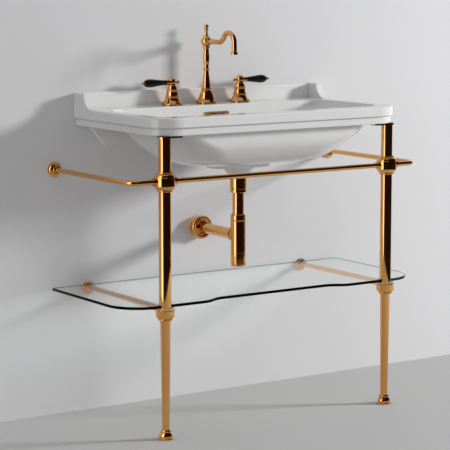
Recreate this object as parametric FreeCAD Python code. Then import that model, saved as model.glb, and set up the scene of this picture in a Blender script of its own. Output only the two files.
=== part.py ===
import FreeCAD, Part

import math
import os

# A console washbasin: a ceramic basin with a widespread three-hole tap, carried at the wall and on
# two turned metal legs at the front, with a towel rail round three sides and a glass shelf below.
# Millimetres. X runs to the right of someone facing the basin, Y towards the wall, Z up.
# The origin is on the floor, midway between the two sides and midway along the depth.

V = FreeCAD.Vector

# ---------------------------------------------------------------- driving dimensions
# basin
basin_width = 820.0
basin_depth = 445.0
rim_height = 863.0
rim_upper_band = 27.0
rim_groove = 3.0
rim_lower_band = 18.0
rim_lower_inset = 6.0
rim_groove_inset = 8.0
rim_corner_radius = 80.0
rim_edge_radius = 6.0
rim_step_radius = 2.5
splash_edge_radius = 4.0
side_rim = 40.0
front_rim = 42.0
deck_depth = 100.0
bowl_corner_radius = 62.0
bowl_depth = 137.0
bowl_wall = 16.0
belly_side_gap = 79.0
belly_floor = 0.47
belly_end_radius = 240.0
belly_curve = 84.0
belly_levels = 6
throat_levels = 4
belly_front_gap = 30.0
deck_plate = 20.0
pocket_side_gap = 21.0
splash_height = 43.0
splash_thickness = 14.0
cheek_width = 21.0
cheek_depth = 54.0
apron_thickness = 14.0
apron_drop = 59.0
apron_side_gap = 42.0
apron_slant = 50.0
wall_bolt_spacing = 280.0
wall_bolt_hole_radius = 7.0
wall_bolt_drop = 32.0
overflow_drop = 26.0
overflow_slot_length = 56.0
overflow_slot_height = 7.0
overflow_ring_length = 84.0
overflow_ring_height = 12.0
overflow_ring_proud = 2.0
overflow_lip_reach = 6.0
overflow_lip_wall = 1.5
overflow_duct_radius = 6.5
overflow_duct_wall = 5.0
overflow_duct_drop = 20.0
overflow_duct_run = 16.0
overflow_duct_rise = 8.0
belly_foot_width = 214.0
belly_foot_depth = 136.0
belly_foot_drop = 15.0
belly_foot_flare = 12.0
boss_top_radius = 62.0
boss_bottom_radius = 33.0
boss_height = 34.0
overflow_port_rise = 24.0

# waste and bottle trap
waste_setback = 211.0
waste_hole_radius = 22.5
waste_tube_radius = 20.9
waste_bore_radius = 17.0
waste_tube_length = 78.0
waste_flange_radius = 32.0
waste_flange_height = 3.0
overflow_port_radius = 6.0
plug_radius = 30.5
plug_height = 5.0
plug_edge = 2.0
plug_lift = 9.0
plug_stem_radius = 4.0
back_nut_across_flats = 50.0
back_nut_height = 8.0
guide_drop = 46.0
guide_length = 10.0
trap_inlet_nut_radius = 23.6
trap_inlet_nut_height = 44.0
trap_pipe_radius = 16.5
trap_pipe_wall = 1.2
pipe_collar_height = 3.0
trap_glass_gap = 44.0
trap_bottle_radius = 21.3
trap_bottle_rise = 61.0
trap_bottle_depth = 89.0
trap_cup_height = 40.0
trap_cup_thread = 12.0
trap_dip_gap = 36.0
trap_ring_drop = 18.0
trap_wall = 2.0
outlet_pipe_radius = 15.5
outlet_thread_radius = 17.0
outlet_thread_length = 7.0
trap_outlet_nut_radius = 19.0
trap_outlet_nut_length = 15.0
trap_flange_radius = 34.5
trap_flange_depth = 29.0
outlet_stub = 30.0
seal_thickness = 3.0

# tap
tap_setback = 47.0
tap_spacing = 233.0
tap_hole_radius = 16.5
gasket_thickness = 1.5
shank_radius = 13.0
shank_bore_radius = 5.0
shank_drop = 46.0
shank_rise = 5.0
deck_nut_height = 8.0
deck_nut_across_flats = 38.0
tail_radius = 10.4
tail_length = 24.0
link_drop = 62.0
link_pipe_radius = 6.0
link_pipe_wall = 1.0
link_socket_radius = 9.5
link_socket_reach = 24.0
tee_radius = 18.0
tee_grip = 10.0
spout_base_radius = 30.5
spout_bell_height = 37.0
spout_neck_drop = 64.0
spout_column_height = 163.0
spout_stem_radius = 5.2
spout_stem_length = 30.0
hub_ball_radius = 15.5
hub_ball_rise = 13.0
swan_radius = 7.5
swan_bore_radius = 3.8
swan_reach = 144.0
swan_apex_rise = 41.0
swan_start_rise = 13.0
swan_lift_angle = 52.0
swan_lift_radius = 32.0
swan_crown_radius = 28.0
swan_drop = 60.0
nozzle_radius = 10.5
nozzle_height = 9.0
aerator_radius = 7.5
aerator_height = 7.0
finial_screw_radius = 3.0
hub_seat_radius = 9.5
finial_seat = 12.5
finial_screw_length = 12.0
finial_height = 37.0
pillar_base_radius = 30.0
pillar_height = 51.0
lever_rise = 64.0
lever_hub_radius = 10.5
lever_hub_height = 20.0
lever_socket_reach = 22.0
grip_length = 72.0
grip_radius = 11.8
grip_neck_radius = 7.0
grip_pin_radius = 2.5
tip_radius = 4.0
inner_knob_radius = 5.0
inner_knob_reach = 19.0
cap_height = 6.0
cap_screw_radius = 2.5
spindle_radius = 4.0
spindle_length = 22.0
cartridge_radius = 8.5
cartridge_length = 34.0

# stand
post_inset = 38.0
post_setback = 415.0
post_radius = 16.5
post_wall = 1.5
top_plate_thickness = 3.5
top_plate_reach = 55.0
top_plate_end_radius = 15.0
basin_pad_thickness = 1.7
rail_drop = 168.0
rail_radius = 7.0
rail_side_reach = 103.0
rail_bend_radius = 28.0
knuckle_radius = 28.5
knuckle_drum = 25.0
knuckle_height = 53.0
knuckle_ring_radius = 20.5
knuckle_socket_radius = 11.0
knuckle_reach = 35.0
socket_depth = 12.0
collar_radius = 25.5
collar_height = 27.0
collar_neck_radius = 19.5
collar_neck_height = 6.0
collar_socket_depth = 9.0
collar_rail_depth = 9.0
leg_tenon = 9.0
leg_top_radius = 14.0
leg_bottom_radius = 10.0
foot_radius = 22.0
foot_height = 26.0
foot_pad = 4.0
foot_tenon = 8.0
rose_radius = 21.5
rose_depth = 14.0
rail_fixing_radius = 4.0
rail_fixing_depth = 25.0

# glass shelf
glass_drop = 506.0
glass_overhang = 19.0
glass_thickness = 8.0
glass_arris = 0.8
glass_back_gap = 16.0
glass_front_setback = 417.0
glass_middle_setback = 391.0
glass_middle_width = 340.0
glass_wave_width = 80.0
glass_corner_radius = 95.0
glass_post_clearance = 1.5
shelf_pad_thickness = 1.0

# clearances between pieces
seat_gap = 0.3
overflow_ring_gap = 0.6
running_gap = 0.05
glue_gap = 0.02

# ---------------------------------------------------------------- places worked out from them
front_reach = max(basin_depth, post_setback + knuckle_radius, glass_front_setback)
wall_y = (front_reach - outlet_stub) / 2
rim_underside = rim_height - rim_upper_band - rim_groove - rim_lower_band
belly_width = basin_width - 2 * belly_side_gap
pocket_width = belly_width - 2 * pocket_side_gap
apron_top_width = basin_width - 2 * apron_side_gap
apron_bottom_width = apron_top_width - 2 * apron_slant
bowl_bottom = rim_height - bowl_depth
belly_back_gap = deck_depth - bowl_wall
belly_bottom = bowl_bottom - bowl_wall
boss_bottom = belly_bottom - boss_height
waste_y = wall_y - waste_setback
tap_y = wall_y - tap_setback
tap_x = tap_spacing / 2
post_spacing = basin_width - 2 * post_inset
post_x = post_spacing / 2
post_y = wall_y - post_setback
deck_underside = rim_height - deck_plate
tap_seat = rim_height + gasket_thickness
column_top = tap_seat + spout_column_height
hub_seat = column_top + seat_gap
hub_centre = hub_seat + hub_ball_rise
swan_start = hub_seat + swan_start_rise
lever_height = rim_height + lever_rise
pillar_top = tap_seat + pillar_height
link_height = rim_height - link_drop
post_top = rim_underside - basin_pad_thickness - top_plate_thickness
rail_height = rim_height - rail_drop
rail_spacing = post_spacing + 2 * rail_side_reach
glass_height = rim_height - glass_drop
glass_width = rail_spacing + 2 * glass_overhang
knuckle_top = rail_height + knuckle_height / 2
knuckle_bottom = rail_height - knuckle_height / 2
collar_top = glass_height - shelf_pad_thickness
collar_bottom = collar_top - collar_height
shelf_rail_height = collar_top - rail_radius - seat_gap
waste_seat = bowl_bottom - waste_flange_height
waste_tube_bottom = bowl_bottom - waste_tube_length
back_nut_top = boss_bottom - seal_thickness
overflow_height = rim_height - overflow_drop
port_height = boss_bottom + overflow_port_rise
guide_low = bowl_bottom - guide_drop
inlet_nut_top = back_nut_top - back_nut_height - seat_gap
inlet_pipe_top = waste_tube_bottom - seal_thickness
trap_bottle_bottom = glass_height + glass_thickness + trap_glass_gap
trap_outlet_height = trap_bottle_bottom + trap_bottle_depth
trap_bottle_top = trap_outlet_height + trap_bottle_rise
cup_top = trap_bottle_bottom + trap_cup_height
dip_bottom = trap_outlet_height - trap_dip_gap
outlet_pipe_start = trap_bottle_radius + outlet_thread_length + seal_thickness
nozzle_low = hub_seat + swan_apex_rise - swan_drop
cartridge_low = pillar_height - cartridge_length
tee_top = rim_height - shank_drop + tee_grip
SIDES = (("left", -1), ("right", 1))


# ---------------------------------------------------------------- helpers
def edge_chain(start, steps, point):
    """Edges from start along steps: an end point, an arc (middle, end) or a curve of more points."""
    edges = []
    here = start
    for step in steps:
        if not isinstance(step[0], tuple):
            edges.append(Part.makeLine(point(here), point(step)))
            here = step
        elif len(step) == 2:
            edges.append(Part.Arc(point(here), point(step[0]), point(step[1])).toShape())
            here = step[1]
        else:
            curve = Part.BSplineCurve()
            curve.interpolate([point(here)] + [point(place) for place in step])
            edges.append(curve.toShape())
            here = step[-1]
    return edges


def turned(start, *steps):
    """A solid turned about Z from a closed outline of (radius, height) points."""
    edges = edge_chain(start, steps + (start,), lambda place: V(place[0], 0, place[1]))
    return Part.Face(Part.Wire(edges)).revolve(V(0, 0, 0), V(0, 0, 1), 360)


def rod(radius, low, high):
    return Part.makeCylinder(radius, high - low, V(0, 0, low))


def tube(radius, bore, low, high):
    return rod(radius, low, high).cut(rod(bore, low - 1, high + 1))


def hexagon(across_flats, low, high):
    corner = across_flats / math.sqrt(3)
    turns = [math.radians(60 * k) for k in range(7)]
    ring = [V(corner * math.cos(turn), corner * math.sin(turn), low) for turn in turns]
    return Part.Face(Part.makePolygon(ring)).extrude(V(0, 0, high - low))


def placed(shape, x, y, z, axis=None):
    """A copy of a shape made about Z, turned so that its Z follows axis, and moved."""
    copy = shape.copy()
    turn = FreeCAD.Rotation(V(0, 0, 1), axis) if axis else FreeCAD.Rotation()
    copy.Placement = FreeCAD.Placement(V(x, y, z), turn).multiply(copy.Placement)
    return copy


def along(radius, start, end):
    """A round bar between two points."""
    run = end - start
    return Part.makeCylinder(radius, run.Length, start, run)


def dome(radius, base, rise):
    """Arc of a round top, centred on the axis: its middle and its end."""
    ball = (radius ** 2 + rise ** 2) / (2 * rise)
    half_turn = math.asin(radius / ball) / 2
    top = base + rise
    return (ball * math.sin(half_turn), top - ball * (1 - math.cos(half_turn))), (0, top)


def swept(path_edges, radius):
    """A round bar along a path of tangent lines and arcs."""
    path = Part.Wire(path_edges)
    first = path_edges[0]
    start = first.valueAt(first.FirstParameter)
    heading = first.tangentAt(first.FirstParameter)
    ring = Part.Wire(Part.makeCircle(radius, start, heading))
    return path.makePipeShell([ring], True, False)


def rounded_ring(right, front, back, corner, height):
    """A rectangle with round corners: front and back are Y places, front the lower one."""
    bulge = corner * (1 - math.sqrt(0.5))
    steps = (
        (right - corner, front),
        ((right - bulge, front + bulge), (right, front + corner)),
        (right, back - corner),
        ((right - bulge, back - bulge), (right - corner, back)),
        (corner - right, back),
        ((bulge - right, back - bulge), (-right, back - corner)),
        (-right, front + corner),
        ((bulge - right, front + bulge), (corner - right, front)),
    )
    return Part.Wire(edge_chain(steps[-1][-1], steps, lambda place: V(place[0], place[1], height)))


def rim_plate(inset, low, high):
    """The basin's plan, square at the wall and round at the front corners, between two heights."""
    half = basin_width / 2 - inset
    front = wall_y - basin_depth + inset
    corner = rim_corner_radius - inset
    diagonal = corner * math.sqrt(0.5)
    steps = (
        (half, wall_y),
        (-half, wall_y),
        (-half, front + corner),
        ((-half + corner - diagonal, front + corner - diagonal), (-half + corner, front)),
        (half - corner, front),
        ((half - corner + diagonal, front + corner - diagonal), (half, front + corner)),
        (half, wall_y),
    )
    edges = edge_chain(steps[0], steps[1:], lambda place: V(place[0], place[1], low))
    return Part.Face(Part.Wire(edges)).extrude(V(0, 0, high - low))


def softened(shape, radius, height, keep_y=None):
    """Round the edges that lie at a height, except those that lie along keep_y."""
    picked = []
    for edge in shape.Edges:
        box = edge.BoundBox
        level = abs(box.ZMin - height) < 0.01 and abs(box.ZMax - height) < 0.01
        kept = keep_y is not None and abs(box.YMin - keep_y) < 0.01 and abs(box.YMax - keep_y) < 0.01
        if level and not kept:
            picked.append(edge)
    return shape.makeFillet(radius, picked)


# ---------------------------------------------------------------- basin
def belly_level(share, inset):
    """Belly at a share of its curve, drawn in by inset: ((half width, front and back distances from
    the wall, corner radius), drop). The ends grow rounder and the sides draw in on the way down."""
    turn = math.radians(belly_curve * share)
    spread = belly_floor + (1 - belly_floor) * math.cos(turn)
    front_top = basin_depth - belly_front_gap
    half = belly_width / 2 * spread
    front = waste_setback + (front_top - waste_setback) * (spread - 0.05) / 0.95
    back = waste_setback - (waste_setback - belly_back_gap) * (spread + 0.4) / 1.4
    corner = bowl_corner_radius + bowl_wall
    corner += (belly_end_radius - corner) * share
    drop = math.sin(turn) / math.sin(math.radians(belly_curve))
    return (half - inset, front - inset, back + inset, corner - inset), drop


def level_ring(half, front, back, corner, height):
    fitting = min(corner, half * 0.9, (front - back) * 0.46)
    return rounded_ring(half, wall_y - front, wall_y - back, fitting, height)


def loft(rings):
    return Part.makeLoft(rings, True, False, False, 3)


def bowl_hollow():
    """Inside of the bowl: a wide mouth that draws in to run a wall's thickness inside the belly."""
    mouth = (basin_width / 2 - side_rim, basin_depth - front_rim, deck_depth, bowl_corner_radius)
    throat, _ = belly_level(0, bowl_wall)
    rings = []
    for number in range(throat_levels):
        share = number / throat_levels
        blend = (1 - math.cos(math.pi * share)) / 2
        sizes = [wide * (1 - blend) + tight * blend for wide, tight in zip(mouth, throat)]
        height = rim_height - share * (rim_height - rim_underside)
        rings.append(level_ring(*sizes, height))
    for number in range(belly_levels):
        sizes, drop = belly_level(number / (belly_levels - 1), bowl_wall)
        rings.append(level_ring(*sizes, rim_underside - drop * (rim_underside - bowl_bottom)))
    opening = Part.Face(rings[0]).extrude(V(0, 0, splash_height))
    return loft(rings).fuse(opening)


def belly_foot():
    """Low swelling under the belly, round the outlet."""
    rings = []
    for inset, height in ((belly_foot_flare, belly_bottom - belly_foot_drop),
                          (0, belly_bottom + bowl_wall / 2)):
        half, reach = belly_foot_width / 2 - inset, belly_foot_depth / 2 - inset
        rings.append(rounded_ring(half, waste_y - reach, waste_y + reach, reach * 0.9, height))
    return Part.makeLoft(rings, True, True)


def belly():
    """Outer skin of the bowl below the rim, with the shallow foot and the outlet boss under it."""
    rings = []
    for number in range(belly_levels):
        sizes, drop = belly_level(number / (belly_levels - 1), 0)
        rings.append(level_ring(*sizes, rim_underside - drop * (rim_underside - belly_bottom)))
    cap = Part.Face(rings[0]).extrude(V(0, 0, rim_lower_band))
    boss = Part.makeCone(boss_bottom_radius, boss_top_radius, boss_height + bowl_wall / 2)
    return loft(rings).fuse([cap, belly_foot(), placed(boss, 0, waste_y, boss_bottom)])


def cheek(sign):
    """End of the upstand: level near the wall, then a hollow curve down to the rim."""
    top = rim_height + splash_height
    bend = splash_height
    middle = bend * (1 - math.sqrt(0.5))
    steps = (
        (wall_y, top),
        (wall_y - cheek_depth, top),
        (
            (wall_y - cheek_depth - middle, rim_height + bend - bend * math.sqrt(0.5)),
            (wall_y - cheek_depth - bend, rim_height),
        ),
        (wall_y - cheek_depth - bend, rim_height - rim_edge_radius),
        (wall_y, rim_height - rim_edge_radius),
    )
    start_x = -basin_width / 2 if sign < 0 else basin_width / 2 - cheek_width
    edges = edge_chain(steps[-1], steps, lambda place: V(start_x, place[0], place[1]))
    return Part.Face(Part.Wire(edges)).extrude(V(cheek_width, 0, 0))


def upstand():
    top = rim_height + splash_height
    low = rim_height - rim_edge_radius
    back = Part.makeBox(basin_width, splash_thickness, top - low,
                        V(-basin_width / 2, wall_y - splash_thickness, low))
    whole = back.fuse([cheek(-1), cheek(1)]).removeSplitter()
    return softened(whole, splash_edge_radius, top, wall_y)


def apron():
    """The panel under the deck that lies against the wall and takes the wall bolts."""
    low = rim_underside - apron_drop
    top = rim_underside + rim_lower_band / 2
    corners = (
        (-apron_top_width / 2, top),
        (-apron_top_width / 2, rim_underside),
        (-apron_bottom_width / 2, low),
        (apron_bottom_width / 2, low),
        (apron_top_width / 2, rim_underside),
        (apron_top_width / 2, top),
    )
    edges = edge_chain(corners[-1], corners, lambda place: V(place[0], wall_y, place[1]))
    panel = Part.Face(Part.Wire(edges)).extrude(V(0, -apron_thickness, 0))
    for sign in (-1, 1):
        start = V(sign * wall_bolt_spacing / 2, wall_y + 1, rim_underside - wall_bolt_drop)
        panel = panel.cut(along(wall_bolt_hole_radius, start, start - V(0, apron_thickness + 2, 0)))
    return panel


def stadium(length, height, depth, x, y, z):
    """A flat-sided, round-ended bar that runs along Y from y towards the front."""
    radius = height / 2
    reach = length / 2 - radius
    shape = Part.makeBox(2 * reach, depth, height, V(x - reach, y - depth, z - radius))
    for sign in (-1, 1):
        shape = shape.fuse(along(radius, V(x + sign * reach, y, z), V(x + sign * reach, y - depth, z)))
    return shape.removeSplitter()


def overflow_route():
    """The duct from the slot in the bowl's back wall, down behind the belly, to the outlet boss."""
    turn_height = rim_underside - overflow_duct_drop
    return (
        V(0, wall_y - belly_back_gap, overflow_height),
        V(0, wall_y - belly_back_gap, turn_height),
        V(0, wall_y - belly_back_gap - overflow_duct_run, belly_bottom + overflow_duct_rise),
        V(0, waste_y, port_height),
    )


def duct(radius, stop_short):
    places = list(overflow_route())
    last = places[-1]
    run = (last - places[-2]).normalize()
    places[-1] = last - run * stop_short
    pieces = [along(radius, here, there) for here, there in zip(places, places[1:])]
    pieces += [Part.makeSphere(radius, place) for place in places[:-1]]
    return pieces[0].fuse(pieces[1:])


def basin():
    groove_top = rim_height - rim_upper_band
    groove_low = groove_top - rim_groove
    upper = softened(rim_plate(0, groove_top, rim_height), rim_edge_radius, rim_height, wall_y)
    upper = softened(upper, rim_step_radius, groove_top, wall_y)
    lower = rim_plate(rim_lower_inset, rim_underside, groove_low)
    lower = softened(lower, rim_step_radius, groove_low, wall_y)
    lower = softened(lower, rim_step_radius, rim_underside, wall_y)
    body = upper.fuse([
        rim_plate(rim_groove_inset, groove_low - 1, groove_top + 1),
        lower,
        belly(),
        upstand(),
        apron(),
    ]).removeSplitter()
    duct_skin = duct(overflow_duct_radius + overflow_duct_wall, 0)
    body = body.fuse(duct_skin).cut(bowl_hollow())
    pocket_back = wall_y - apron_thickness
    pocket_depth = belly_back_gap - apron_thickness
    pocket = Part.makeBox(pocket_width, pocket_depth, deck_underside - rim_underside + 1,
                          V(-pocket_width / 2, pocket_back - pocket_depth, rim_underside - 1))
    body = body.cut(pocket.cut(duct_skin))
    for x in (-tap_x, 0, tap_x):
        body = body.cut(placed(rod(tap_hole_radius, deck_underside - 1, rim_height + 1), x, tap_y, 0))
    body = body.cut(placed(rod(waste_hole_radius, boss_bottom - 1, rim_height), 0, waste_y, 0))
    recess = rod(waste_flange_radius + seat_gap, waste_seat, rim_height)
    body = body.cut(placed(recess, 0, waste_y, 0))
    body = body.cut(duct(overflow_duct_radius, waste_hole_radius / 2))
    slot = stadium(overflow_slot_length, overflow_slot_height, bowl_wall * 2,
                   0, wall_y - belly_back_gap, overflow_height)
    return body.cut(slot)


def overflow_ring():
    """The oval trim round the overflow slot, on the bowl's back wall."""
    face = wall_y - deck_depth - overflow_ring_gap
    back = face + overflow_lip_reach
    depth = overflow_lip_reach + overflow_ring_proud
    lip_length = overflow_slot_length - 2 * seat_gap
    lip_height = overflow_slot_height - 2 * seat_gap
    ring = stadium(overflow_ring_length, overflow_ring_height, overflow_ring_proud, 0, face, overflow_height)
    lip = stadium(lip_length, lip_height, depth, 0, back, overflow_height)
    hole = stadium(lip_length - 2 * overflow_lip_wall, lip_height - 2 * overflow_lip_wall,
                   depth + 2, 0, back + 1, overflow_height)
    return ring.fuse(lip).cut(hole)


# ---------------------------------------------------------------- waste and bottle trap
def waste_body():
    """Flanged tube clamped through the basin's outlet, with overflow ports and the plug's guide."""
    top = bowl_bottom
    lip = waste_flange_height / 2
    body = turned(
        (waste_bore_radius, waste_tube_bottom),
        (waste_tube_radius, waste_tube_bottom),
        (waste_tube_radius, waste_seat),
        (waste_flange_radius, waste_seat),
        (waste_flange_radius, waste_seat + lip),
        (waste_bore_radius + lip, top),
        (waste_bore_radius, top - lip),
    )
    port = along(overflow_port_radius, V(0, 0, port_height), V(0, waste_tube_radius + 1, port_height))
    body = body.cut(port)
    guide_radius = plug_stem_radius + running_gap
    hub = rod(plug_stem_radius * 2, guide_low, guide_low + guide_length)
    for turn in (30, 150, 270):
        arm = Part.makeBox(waste_bore_radius + 0.5, plug_stem_radius, guide_length / 2,
                           V(0, -plug_stem_radius / 2, guide_low))
        arm.rotate(V(0, 0, 0), V(0, 0, 1), turn)
        hub = hub.fuse(arm)
    body = body.fuse(hub).cut(rod(guide_radius, guide_low - 1, guide_low + guide_length + 1))
    return placed(body, 0, waste_y, 0)


def waste_plug():
    """The sprung-open cover over the waste, with its stem."""
    low = bowl_bottom + plug_lift
    shape = turned(
        (0, guide_low - plug_lift - seat_gap),
        (plug_stem_radius, guide_low - plug_lift - seat_gap),
        (plug_stem_radius, low),
        (plug_radius, low),
        (plug_radius, low + plug_edge),
        dome(plug_radius, low + plug_edge, plug_height - plug_edge),
    )
    return placed(shape, 0, waste_y, 0)


def waste_nut():
    shape = hexagon(back_nut_across_flats, back_nut_top - back_nut_height, back_nut_top)
    shape = shape.cut(rod(waste_tube_radius + glue_gap, inlet_nut_top, boss_bottom))
    return placed(shape, 0, waste_y, 0)


def trap_inlet_nut():
    low = inlet_nut_top - trap_inlet_nut_height
    radius = trap_inlet_nut_radius
    groove = low + trap_inlet_nut_height * 0.22
    shape = turned(
        (trap_pipe_radius + glue_gap, low),
        (radius - 1.5, low),
        (radius, low + 1.5),
        (radius, groove),
        (radius - 1.5, groove + 1),
        (radius - 1.5, groove + 2.5),
        (radius, groove + 3.5),
        (radius, inlet_nut_top - 1.5),
        (radius - 1.5, inlet_nut_top),
        (waste_tube_radius + glue_gap, inlet_nut_top),
        (waste_tube_radius + glue_gap, inlet_pipe_top - pipe_collar_height),
        (trap_pipe_radius + glue_gap, inlet_pipe_top - pipe_collar_height),
    )
    return placed(shape, 0, waste_y, 0)


def trap_inlet_pipe():
    bore = trap_pipe_radius - trap_pipe_wall
    shape = tube(trap_pipe_radius, bore, dip_bottom, inlet_pipe_top)
    collar = tube(waste_tube_radius, bore, inlet_pipe_top - pipe_collar_height, inlet_pipe_top)
    return placed(shape.fuse(collar), 0, waste_y, 0)


def trap_body():
    """Upper part of the bottle, with its shoulder ring and the threaded side outlet."""
    radius = trap_bottle_radius
    bore = radius - trap_wall
    top = trap_bottle_top
    ring = top - trap_ring_drop
    shape = turned(
        (bore, cup_top),
        (radius, cup_top),
        (radius, ring - 2),
        ((radius + 1.6, ring), (radius, ring + 2)),
        (radius, top - 3),
        ((radius - 0.9, top - 0.9), (radius - 3, top)),
        (trap_pipe_radius + glue_gap, top),
        (trap_pipe_radius + glue_gap, top - 2 * trap_wall),
        (bore, top - 2 * trap_wall),
    )
    start = V(0, 0, trap_outlet_height)
    outlet = along(outlet_thread_radius, start, start + V(0, radius + outlet_thread_length, 0))
    shape = shape.fuse(outlet.cut(rod(radius - 0.5, 0, top)))
    way = along(outlet_pipe_radius - trap_pipe_wall, start, start + V(0, outlet_pipe_start, 0))
    return placed(shape.cut(way), 0, waste_y, 0)


def trap_cup():
    """The part that unscrews from the bottom of the bottle for cleaning."""
    radius = trap_bottle_radius
    bore = radius - trap_wall
    low = trap_bottle_bottom
    shape = turned(
        (0, low),
        (radius - 4, low),
        ((radius - 1.2, low + 1.2), (radius, low + 4)),
        (radius, cup_top - 1),
        (radius - 1, cup_top),
        (bore - glue_gap, cup_top),
        (bore - glue_gap, cup_top + trap_cup_thread),
        (bore - trap_wall, cup_top + trap_cup_thread),
        (bore - trap_wall, low + trap_wall),
        (0, low + trap_wall),
    )
    return placed(shape, 0, waste_y, 0)


def trap_outlet_nut():
    length = trap_outlet_nut_length
    radius = trap_outlet_nut_radius
    shape = turned(
        (outlet_thread_radius + glue_gap, 0),
        (radius - 1, 0),
        (radius, 1),
        (radius, length - 5),
        (radius - 3, length),
        (outlet_pipe_radius + glue_gap, length),
        (outlet_pipe_radius + glue_gap, outlet_pipe_start + pipe_collar_height - trap_bottle_radius - 1),
        (outlet_thread_radius + glue_gap, outlet_pipe_start + pipe_collar_height - trap_bottle_radius - 1),
    )
    return placed(shape, 0, waste_y + trap_bottle_radius + 1, trap_outlet_height, V(0, 1, 0))


def trap_outlet_pipe():
    bore = outlet_pipe_radius - trap_pipe_wall
    length = wall_y + outlet_stub - waste_y
    shape = tube(outlet_pipe_radius, bore, outlet_pipe_start, length)
    collar = tube(outlet_thread_radius, bore, outlet_pipe_start, outlet_pipe_start + pipe_collar_height)
    return placed(shape.fuse(collar), 0, waste_y, trap_outlet_height, V(0, 1, 0))


def trap_wall_flange():
    """Deep cup-shaped cover where the outlet enters the wall, with a dished front."""
    radius = trap_flange_radius
    depth = trap_flange_depth
    neck = outlet_pipe_radius + 2.5
    shape = turned(
        (outlet_pipe_radius + glue_gap, 0),
        (radius - 2, 0),
        (radius - 2, 2.5),
        ((radius - 0.6, depth * 0.4), (radius, depth - 7)),
        ((radius - 1.5, depth - 2.5), (radius - 6, depth - 0.6)),
        (radius - 8, depth - 1.2),
        ((neck + 5, depth - 6), (neck + 1, depth - 5)),
        (neck, depth - 4),
        (neck, depth),
        (outlet_pipe_radius + glue_gap, depth),
    )
    return placed(shape, 0, wall_y, trap_outlet_height, V(0, -1, 0))


def seals():
    """Rubber rings under the basin's outlet, in the inlet nut and in the outlet nut."""
    under_boss = tube(back_nut_across_flats / 2, waste_tube_radius + glue_gap, back_nut_top, boss_bottom)
    in_nut = tube(waste_tube_radius, waste_bore_radius, inlet_pipe_top, waste_tube_bottom)
    rings = [placed(under_boss, 0, waste_y, 0), placed(in_nut, 0, waste_y, 0)]
    face = trap_bottle_radius + outlet_thread_length
    at_outlet = tube(outlet_thread_radius, outlet_pipe_radius - trap_pipe_wall, face, outlet_pipe_start)
    rings.append(placed(at_outlet, 0, waste_y, trap_outlet_height, V(0, 1, 0)))
    return Part.makeCompound(rings)


# ---------------------------------------------------------------- tap
def spout_column():
    """Bell-footed pillar that narrows to a waist, then swells below the turning hub."""
    foot = spout_base_radius
    bell = spout_bell_height
    top = spout_column_height
    neck = top - spout_neck_drop
    waist = bell + 6.5
    run = neck - 6 - waist
    swell = top - 16 - neck
    outer = (
        (foot, 2.5),
        ((foot - 1, 4), (foot - 5, bell * 0.24), (foot - 10.5, bell * 0.6), (foot - 17, bell)),
        (foot - 15.8, bell + 1.5),
        ((foot - 15, bell + 3.5), (foot - 15.8, bell + 5.5)),
        (foot - 18.4, waist),
        ((foot - 19.3, waist + run * 0.2), (foot - 20.4, waist + run * 0.45),
         (foot - 22.1, waist + run * 0.75), (foot - 23.4, neck - 6)),
        (foot - 22, neck - 4.5),
        ((foot - 21.2, neck - 2.2), (foot - 22, neck)),
        (foot - 23.4, neck + 1.5),
        ((foot - 23, neck + swell * 0.22), (foot - 21.6, neck + swell * 0.45),
         (foot - 21.2, neck + swell * 0.7), (foot - 22.6, neck + swell)),
        (foot - 22.6, top - 7),
        (foot - 20.4, top - 5.5),
        ((foot - 19.4, top - 3.5), (foot - 20.4, top - 1.5)),
        (foot - 21.5, top),
        (spout_stem_radius + running_gap, top),
        (spout_stem_radius + running_gap, top - spout_stem_length - 1),
        (shank_bore_radius, top - spout_stem_length - 1),
        (shank_bore_radius, shank_rise + seat_gap),
        (shank_radius + glue_gap, shank_rise + seat_gap),
        (shank_radius + glue_gap, 0),
    )
    return placed(turned((foot, 0), *outer), 0, tap_y, tap_seat)


def swan_path():
    """Centre line of the spout: out level, up, over the crown and straight down."""
    lift = math.radians(swan_lift_angle)
    crown_y = swan_reach - swan_crown_radius
    crown_z = hub_seat + swan_apex_rise - swan_crown_radius
    crown_start = (crown_y - swan_crown_radius * math.sin(lift),
                   crown_z + swan_crown_radius * math.cos(lift))
    rise = crown_start[1] - swan_start - swan_lift_radius * (1 - math.cos(lift))
    lift_end = (crown_start[0] - rise / math.tan(lift), crown_start[1] - rise)
    lift_start = (lift_end[0] - swan_lift_radius * math.sin(lift), swan_start)
    half = lift / 2
    lift_middle = (lift_start[0] + swan_lift_radius * math.sin(half),
                   swan_start + swan_lift_radius * (1 - math.cos(half)))
    top_turn = math.radians((90 + swan_lift_angle) / 2) - lift
    crown_middle = (crown_y + swan_crown_radius * math.sin(top_turn),
                    crown_z + swan_crown_radius * math.cos(top_turn))
    steps = (
        lift_start,
        (lift_middle, lift_end),
        crown_start,
        (crown_middle, (swan_reach, crown_z)),
        (swan_reach, nozzle_low),
    )
    return edge_chain((0, swan_start), steps, lambda place: V(0, tap_y - place[0], place[1]))


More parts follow.
